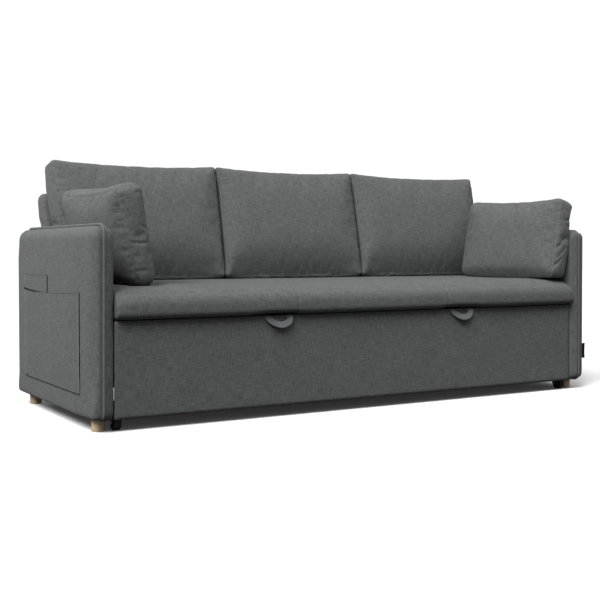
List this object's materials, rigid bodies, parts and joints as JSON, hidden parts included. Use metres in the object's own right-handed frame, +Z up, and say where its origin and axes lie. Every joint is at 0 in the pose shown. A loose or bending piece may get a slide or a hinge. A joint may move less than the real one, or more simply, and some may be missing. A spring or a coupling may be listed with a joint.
{
  "type": "sleeper sofa with pull out bed",
  "caption": "Wide upholstered sofa with slab arms, loose back cushions and arm pillows, and a low bed on casters that pulls out from under the seat.",
  "frame": {"origin": "on the floor, under the centre of the whole outline", "axes": "+Z up, -Y is the side that the seat faces and the bed rolls out to, +X to the right of someone facing the front"},
  "size_m": [2.1606, 0.8492, 0.9038],
  "materials": {
    "cloth": "matte",
    "piping": "matte",
    "black_cloth": "matte",
    "webbing": "matte",
    "ticking": "matte",
    "oak": "satin",
    "slat_wood": "satin",
    "grey_steel": "satin",
    "bright_steel": "satin",
    "black_plastic": "satin",
    "black_rubber": "matte"
  },
  "bodies": {
    "root": {"arm_frame_left": "cloth", "arm_frame_right": "cloth", "arm_pad_left": "cloth", "arm_pad_right": "cloth", "pocket_large": "cloth", "pocket_small": "cloth", "rear_apron": "cloth", "backrest": "cloth", "seat_cushion": "cloth", "arm_welt_left": "piping", "arm_welt_right": "piping", "side_tab": "black_cloth", "foot_front_left": "oak", "foot_front_right": "oak", "foot_rear_left": "oak", "foot_rear_right": "oak", "foot_rear_middle": "oak", "seat_slats": "slat_wood", "seat_rail_front": "grey_steel", "seat_rail_rear": "grey_steel", "seat_beam": "grey_steel", "foot_stud_front_left": "bright_steel", "foot_stud_front_right": "bright_steel", "foot_stud_rear_left": "bright_steel", "foot_stud_rear_right": "bright_steel", "foot_stud_rear_middle": "bright_steel", "guide_track_left": "bright_steel", "guide_track_right": "bright_steel"},
    "bed": {"front_panel": "cloth", "bed_rolling_frame": "grey_steel", "bed_deck_frame": "grey_steel", "lift_link_front_left": "bright_steel", "lift_link_front_right": "bright_steel", "lift_link_rear_left": "bright_steel", "lift_link_rear_right": "bright_steel", "bed_slats": "slat_wood", "bed_mattress": "ticking", "roller_bracket_left": "grey_steel", "roller_bracket_right": "grey_steel", "caster_fork_left": "black_plastic", "caster_fork_right": "black_plastic", "caster_axle_left": "bright_steel", "caster_axle_right": "bright_steel"},
    "caster_left": {"caster_wheel_left": "black_rubber"},
    "caster_right": {"caster_wheel_right": "black_rubber"},
    "roller_left": {"rear_roller_left": "black_plastic"},
    "roller_right": {"rear_roller_right": "black_plastic"},
    "loop_left": {"pull_loop_left": "webbing"},
    "loop_right": {"pull_loop_right": "webbing"},
    "cushion_left": {"back_cushion_left": "cloth"},
    "cushion_middle": {"back_cushion_middle": "cloth"},
    "cushion_right": {"back_cushion_right": "cloth"},
    "pillow_left": {"arm_pillow_left": "cloth"},
    "pillow_right": {"arm_pillow_right": "cloth"}
  },
  "joints": [
    {"name": "bed_slide", "type": "slide", "parent": "root", "child": "bed", "axis": [0, -1, 0], "range_m": [0, 0.585]},
    {"name": "caster_left_spin", "type": "hinge", "parent": "bed", "child": "caster_left", "pos_m": [-0.9655, -0.36475, 0.025], "axis": [1, 0, 0], "continuous": true},
    {"name": "roller_left_spin", "type": "hinge", "parent": "bed", "child": "roller_left", "pos_m": [-0.9814, 0.22925, 0.12095], "axis": [1, 0, 0], "continuous": true},
    {"name": "loop_left_flap", "type": "hinge", "parent": "bed", "child": "loop_left", "pos_m": [-0.402, -0.40935, 0.3485], "axis": [-1, 0, 0], "range_deg": [0, 62]},
    {"name": "caster_right_spin", "type": "hinge", "parent": "bed", "child": "caster_right", "pos_m": [0.9655, -0.36475, 0.025], "axis": [1, 0, 0], "continuous": true},
    {"name": "roller_right_spin", "type": "hinge", "parent": "bed", "child": "roller_right", "pos_m": [0.9814, 0.22925, 0.12095], "axis": [1, 0, 0], "continuous": true},
    {"name": "loop_right_flap", "type": "hinge", "parent": "bed", "child": "loop_right", "pos_m": [0.402, -0.40935, 0.3485], "axis": [-1, 0, 0], "range_deg": [0, 62]},
    {"name": "cushion_left_lift", "type": "slide", "parent": "root", "child": "cushion_left", "axis": [0, 0.2588, 0.9659], "range_m": [0, 0.36]},
    {"name": "cushion_middle_lift", "type": "slide", "parent": "root", "child": "cushion_middle", "axis": [0, 0.2588, 0.9659], "range_m": [0, 0.36]},
    {"name": "cushion_right_lift", "type": "slide", "parent": "root", "child": "cushion_right", "axis": [0, 0.2588, 0.9659], "range_m": [0, 0.36]},
    {"name": "pillow_left_lift", "type": "slide", "parent": "root", "child": "pillow_left", "axis": [0, 0, 1], "range_m": [0, 0.22]},
    {"name": "pillow_right_lift", "type": "slide", "parent": "root", "child": "pillow_right", "axis": [0, 0, 1], "range_m": [0, 0.22]}
  ]
}
